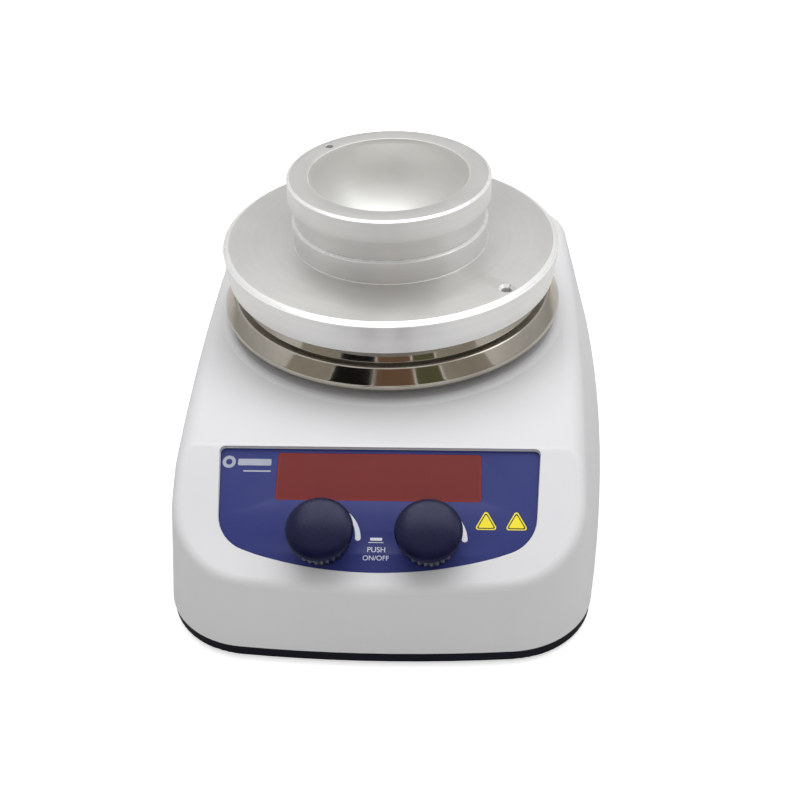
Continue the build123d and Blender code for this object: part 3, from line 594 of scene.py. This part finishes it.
bowl_angles = [radians(BOWL_MOUTH + (90 - BOWL_MOUTH) * i / BOWL_STEPS) for i in range(BOWL_STEPS)]
bowl = [Vector((BOWL_R * cos(a), RING_Z - BOWL_R * sin(a))) for a in bowl_angles]
insert_side = rounded([
    (0, FOOT_Z, 0), (FOOT_R, FOOT_Z, 1.0), (FOOT_R, STEP_Z + SEAT_GAP, 0),
    (NECK_R - 0.15, STEP_Z + SEAT_GAP, 0.1), (NECK_R, STEP_Z + 0.3, 0.1), (NECK_R, RING_LOW_Z, 0.15),
    (RING_R, RING_LOW_Z, 0.2), (RING_R, RING_Z - RING_CHAMFER[1], 0.15),
    (RING_R - RING_CHAMFER[0], RING_Z, 0.2), (BOWL_R + BOWL_EDGE, RING_Z, 0.2), (bowl[0].x, bowl[0].y, 0)], 4)
insert_line = [Vector((0, RING_Z - BOWL_R)), Vector((0, FOOT_Z))] + insert_side[1:-1] + bowl
insert_mesh = turned_mesh("flask_seat", insert_line)
insert = add_mesh("flask_seat", move(insert_mesh, TO_AXIS), "turned_aluminium", "insert", ["flask_insert"])
cut_round(insert, [(*PROBE_HOLE, countersunk(RING_Z, 15, 1.6, 0.15, 1.8, 1))])
turned_rims(insert)


# ---------------------------------------------------------------- knobs
dome_angles = [radians(DOME_START * (1 - i / DOME_STEPS)) for i in range(DOME_STEPS)]
dome = [(KNOB_R * 0.985 * sin(a), DOME_Z + DOME_RISE * cos(a)) for a in dome_angles]
knob_side = rounded([
    (0, KNOB_FOOT_Z, 0), (KNOB_FOOT_R, KNOB_FOOT_Z, 0.3), (KNOB_NECK_R, KNOB_NECK_Z, 0.4),
    (GRIP_LOW_R, GRIP_LOW, 0.3), (GRIP_HIGH_R, GRIP_HIGH - 0.6, 0.3), (KNOB_R, GRIP_HIGH, 0.3),
    (*dome[0], 0)], 4)
knob_line = knob_side + [Vector(point) for point in dome[1:]] + [Vector((0, DOME_Z + DOME_RISE))]


def fluted(radius, height, angle):
    """Rounded flutes in the grip, fading out at its ends."""
    if height >= DOME_Z or radius <= FLUTED_FROM_R:
        return radius
    rise = (height - GRIP_LOW + FLUTE_FADE) / FLUTE_FADE
    fall = (GRIP_HIGH + 0.1 - height) / FLUTE_FADE
    share = max(0.0, min(1.0, rise, fall))
    wave = abs(cos(FLUTES * angle / 2))
    return radius - FLUTE_DEPTH * share * (1 - wave) ** 0.7


for label, u in (("heat", -KNOB_X), ("stir", KNOB_X)):
    mesh = turned_mesh(label + "_dial", knob_line, fluted, KNOB_STEPS)
    mesh = move(mesh, Matrix.Translation((u * MM, -KNOB_V * MM, 0)), PANEL)
    add_mesh(label + "_dial", mesh, "knob_navy", label + "_dial", [label + "_knob"], 40)


# ---------------------------------------------------------------- front panel
def outline_curve(name, outlines, low, high, bevel=0.0):
    """Mesh from closed flat outlines (an inner outline is a hole), between two heights."""
    curve = bpy.data.curves.new(name, "CURVE")
    curve.dimensions = "2D"
    curve.fill_mode = "BOTH"
    for outline in outlines:
        spline = curve.splines.new("POLY")
        spline.points.add(len(outline) - 1)
        for point, (x, y) in zip(spline.points, outline):
            point.co = (x * MM, y * MM, 0, 1)
        spline.use_cyclic_u = True
    return flat_mesh(name, curve, low, high, bevel)


def flat_mesh(name, curve, low, high, bevel=0.0):
    """Mesh of a flat curve or text, given thickness between two heights."""
    curve.extrude = (high - low) / 2 * MM - bevel * MM
    curve.bevel_depth = bevel * MM
    curve.bevel_resolution = 2
    curve.offset = -bevel * MM
    holder = bpy.data.objects.new(name, curve)
    scene.collection.objects.link(holder)
    bpy.context.view_layer.update()
    mesh = evaluated_mesh(holder)
    bpy.data.objects.remove(holder)
    shape = bmesh.new()
    shape.from_mesh(mesh)
    bmesh.ops.remove_doubles(shape, verts=shape.verts, dist=1e-7)
    shape.to_mesh(mesh)
    shape.free()
    mesh.transform(Matrix.Translation((0, 0, (low + high) / 2 * MM)))
    return mesh


def arc(centre, radius, start, end, steps=24):
    """Points of an arc between two angles in degrees."""
    angles = [radians(start + (end - start) * i / steps) for i in range(steps + 1)]
    return [(centre[0] + radius * cos(a), centre[1] + radius * sin(a)) for a in angles]


def circle(centre, radius):
    """Closed outline of a circle."""
    return arc(centre, radius, 0, 360 - 360 / CIRCLE_STEPS, CIRCLE_STEPS - 1)


def soft_outline(corners):
    """Closed outline with rounded corners from (x, y, radius)."""
    line = rounded([corners[-1]] + list(corners) + [corners[0]], 8)
    return [tuple(point) for point in line[1:-1]]


def rectangle(x0, x1, y0, y1, radius):
    """Closed outline of a rectangle with rounded corners."""
    return soft_outline([(x0, y0, radius), (x1, y0, radius), (x1, y1, radius), (x0, y1, radius)])


def triangle(apex, half, foot, tip, radius):
    """Closed outline of an upright triangle with rounded corners."""
    return soft_outline([(apex - half, foot, radius), (apex + half, foot, radius), (apex, tip, radius)])


def panel_outline(grow=0.0):
    """The film: straight top, nearly straight sides, one broad arc below."""
    top, low = PANEL_TOP_HALF + grow, PANEL_LOW_HALF + grow
    side, depth = PANEL_SIDE + grow, PANEL_DEPTH + grow
    sag = depth - side
    big = (low ** 2 + sag ** 2) / (2 * sag)
    reach = acos((big - sag) / big)
    turns = [reach * (1 - 2 * i / PANEL_ARC_STEPS) for i in range(PANEL_ARC_STEPS + 1)]
    below = [(big * sin(turn), -depth + big - big * cos(turn)) for turn in turns]
    top_r, low_r = PANEL_TOP_CORNER + grow, PANEL_LOW_CORNER + grow
    corners = [(-low, -side, low_r), (-top, grow, top_r), (top, grow, top_r), (low, -side, low_r)]
    hidden = PANEL_ARC_STEPS // 8       # points of the arc that the lower corners round away
    corners += [(x, y, 0.0) for x, y in below[hidden:-hidden]]
    return soft_outline(corners)


window_hole = rectangle(-WINDOW_HALF_W, WINDOW_HALF_W, -WINDOW_V - WINDOW_HALF_V, WINDOW_HALF_V - WINDOW_V,
                        WINDOW_CORNER)
bush_holes = [circle((u, -KNOB_V), BUSH_R) for u in (-KNOB_X, KNOB_X)]
film = outline_curve("panel_film", [panel_outline(0.1), window_hole] + bush_holes, -0.8, 0.0, 0.12)
add_mesh("panel_film", move(film, PANEL), "panel_blue", "frame", ["panel_overlay"])
bead = outline_curve("panel_bead", [panel_outline(0.7), panel_outline(0.12)], -0.6, 0.18, 0.1)
add_mesh("panel_bead", move(bead, PANEL), "housing_white", "frame")


def decal(name, outlines, slot, low=0.0, high=INK):
    """Ink printed on the panel."""
    return add_mesh(name, move(outline_curve(name, outlines, low, high), PANEL), slot, "frame")


def crescent(u, near_angle, far_angle):
    """Setting scale beside a knob: blunt and wide below, tapering to a point above."""
    centre = Vector((u, -KNOB_V))
    outer, inner = [], []
    steps = 30
    for i in range(steps + 1):
        share = i / steps
        angle = radians(near_angle + (far_angle - near_angle) * share)
        way = Vector((cos(angle), sin(angle)))
        radius = SCALE_R + SCALE_SPREAD * share
        outer.append(tuple(centre + way * radius))
        inner.append(tuple(centre + way * (radius - SCALE_WIDTH * (1 - share) ** 0.8)))
    middle = (Vector(outer[0]) + Vector(inner[0])) / 2
    cap = arc(middle, SCALE_CAP_R, near_angle - 180, near_angle, 12)
    return cap[1:-1] + outer + inner[-2::-1]


decal("heat_scale", [crescent(-KNOB_X, 8, 78)], "ink_white")
decal("stir_scale", [crescent(KNOB_X, 8, 72)], "ink_white")
decal("push_symbol", [rectangle(-2.1, 2.3, -36.5, -35.4, 0.3)], "ink_white")
decal("push_line", [rectangle(-2.7, 2.8, -37.35, -37.1, 0.1)], "ink_white")


def lettering(name, words, size, x, y):
    """A plain function word on the panel."""
    text = bpy.data.curves.new(name, "FONT")
    text.body = words
    text.size = size * MM
    text.align_x = "CENTER"
    text.align_y = "CENTER"
    mesh = flat_mesh(name, text, 0.0, INK)
    mesh = move(mesh, Matrix.Translation((x * MM, y * MM, 0)), PANEL)
    return add_mesh(name, mesh, "ink_white", "frame")


lettering("legend_push", "PUSH", 2.85, 0.3, -40.1)
lettering("legend_on_off", "ON/OFF", 2.65, 0.2, -43.3)

for label, apex in (("left", 40.0), ("right", 51.1)):
    rim = [triangle(apex, 3.6, -31.3, -24.7, 0.6), triangle(apex, 2.95, -30.9, -25.5, 0.4)]
    decal("triangle_" + label, [triangle(apex, 4.3, -31.7, -23.7, 0.9)], "ink_yellow")
    decal("triangle_rim_" + label, rim, "ink_dark", INK, INK_RAISED)

decal("mark_ring", [circle(MARK, 2.5), circle(MARK, 1.2)], "ink_grey")
decal("mark_bar", [rectangle(-53.2, -40.6, -7.0, -4.3, 0.5)], "ink_grey")
decal("mark_line", [rectangle(-51.0, -40.6, -9.6, -9.0, 0.2)], "ink_grey")


# ---------------------------------------------------------------- stage, light and camera
def floor_look():
    """Plain pale floor: near white to the camera, duller in what it throws back."""
    look = Look("floor", specular=0.1)
    seen = look.node("ShaderNodeLightPath").outputs["Is Camera Ray"]
    tone = look.remap(look.noise(700.0), 0.3, 0.7, 0.0, 0.5)
    paint = look.mix(tone, rgb(249, 249, 249), rgb(246, 246, 246))
    look.set("Base Color", look.mix(seen, rgb(205, 204, 202), paint)).set("Roughness", 0.8)
    look.set("Emission Color", paint)
    look.set("Emission Strength", look.math("MULTIPLY", seen, FLOOR_GLOW))
    return look.material


def stage_plane(name, width, height, matrix, material):
    """Flat sheet of the studio, which is not part of the object."""
    shape = bmesh.new()
    bmesh.ops.create_grid(shape, x_segments=1, y_segments=1, size=0.5)
    mesh = bpy.data.meshes.new(name)
    shape.to_mesh(mesh)
    shape.free()
    mesh.transform(Matrix.Diagonal((width, height, 1, 1)))
    plane = bpy.data.objects.new(name, mesh)
    plane.matrix_world = matrix
    scene.collection.objects.link(plane)
    mesh.materials.append(material)
    return plane


stage_plane("floor", FLOOR_SIZE, FLOOR_SIZE, Matrix.Identity(4), floor_look())


def facing(place, target):
    """Matrix at a place whose -Z points at a target."""
    way = Vector(target) - Vector(place)
    return Matrix.Translation(place) @ way.to_track_quat("-Z", "Y").to_matrix().to_4x4()


def softbox(name, place, width, height, power):
    """Rectangular lamp that points at the object."""
    light = bpy.data.lights.new(name, "AREA")
    light.shape = "RECTANGLE"
    light.size, light.size_y = width, height
    light.energy = power
    lamp = bpy.data.objects.new(name, light)
    lamp.matrix_world = facing(place, MIDDLE)
    scene.collection.objects.link(lamp)


softbox("overhead", (0.0, 0.42, 1.45), 1.4, 1.15, 13)
softbox("right", (1.0, 0.1, 1.2), 0.7, 0.7, 2.0)


def ramp(tree, value, low, high):
    """Share of the way that a value has gone from low to high."""
    made = tree.nodes.new("ShaderNodeMapRange")
    made.inputs["From Min"].default_value = low
    made.inputs["From Max"].default_value = high
    tree.links.new(value, made.inputs["Value"])
    return made.outputs[0]


def studio_world():
    """Soft surroundings: pale above and behind, dull and warm towards the front."""
    world = bpy.data.worlds.new("studio")
    scene.world = world
    world.use_nodes = True
    tree = world.node_tree
    place = tree.nodes.new("ShaderNodeTexCoord")
    split = tree.nodes.new("ShaderNodeSeparateXYZ")
    tree.links.new(place.outputs["Generated"], split.inputs[0])
    upward = ramp(tree, split.outputs[2], -0.1, 0.85)
    backward = ramp(tree, split.outputs[1], -0.85, 0.2)
    level = tree.nodes.new("ShaderNodeMix")
    level.data_type = "RGBA"
    level.inputs["A"].default_value = FRONT_GLOW
    level.inputs["B"].default_value = BACK_GLOW
    tree.links.new(backward, level.inputs["Factor"])
    sky = tree.nodes.new("ShaderNodeMix")
    sky.data_type = "RGBA"
    sky.inputs["B"].default_value = TOP_GLOW
    tree.links.new(upward, sky.inputs["Factor"])
    tree.links.new(level.outputs["Result"], sky.inputs["A"])
    tree.links.new(sky.outputs["Result"], tree.nodes["Background"].inputs["Color"])


studio_world()


def card_look(name, colour):
    """Card of one colour that glows unevenly, painted light standing in for lit surroundings."""
    look = Look(name, specular=0.1)
    look.set("Base Color", (0, 0, 0, 1)).set("Roughness", 0.9)
    look.set("Emission Color", look.mix(look.noise(300.0), colour, tuple(0.8 * c for c in colour)))
    look.shader.inputs["Emission Strength"].default_value = 1.0
    return look.material


def card(name, x0, x1, z0, z1, colour):
    """Upright card in front of the object, which only shows in its polished metal."""
    middle = Matrix.Translation(((x0 + x1) / 2, CARD_Y, (z0 + z1) / 2))
    stand = middle @ Matrix.Rotation(pi / 2, 4, "X")
    made = stage_plane(name, x1 - x0, z1 - z0, stand, card_look(name, colour))
    made.visible_camera = False
    made.visible_diffuse = False
    made.visible_shadow = False


card("card_dark", -0.42, -0.105, CARD_LOW, CARD_HIGH, rgb(10, 9, 10))
card("card_tan", -0.09, 0.16, CARD_LOW, CARD_HIGH, rgb(126, 98, 78))
card("card_left", -1.4, -0.43, WIDE_CARD_LOW, WIDE_CARD_HIGH, rgb(168, 163, 152))
card("card_right", 0.40, 1.4, WIDE_CARD_LOW, WIDE_CARD_HIGH, rgb(168, 163, 152))
card("card_olive", 0.175, 0.38, CARD_LOW, CARD_HIGH, rgb(98, 98, 70))

lens = bpy.data.cameras.new("camera")
lens.lens = 58.5
lens.sensor_width = 36
lens.clip_start = 0.01
camera = bpy.data.objects.new("camera", lens)
camera.location = (31.84 * MM, -460.43 * MM, 362.5 * MM)
camera.rotation_euler = (radians(53.977), radians(1.246), radians(2.624))
scene.collection.objects.link(camera)
scene.camera = camera
scene.view_settings.view_transform = "Standard"

bpy.context.view_layer.update()
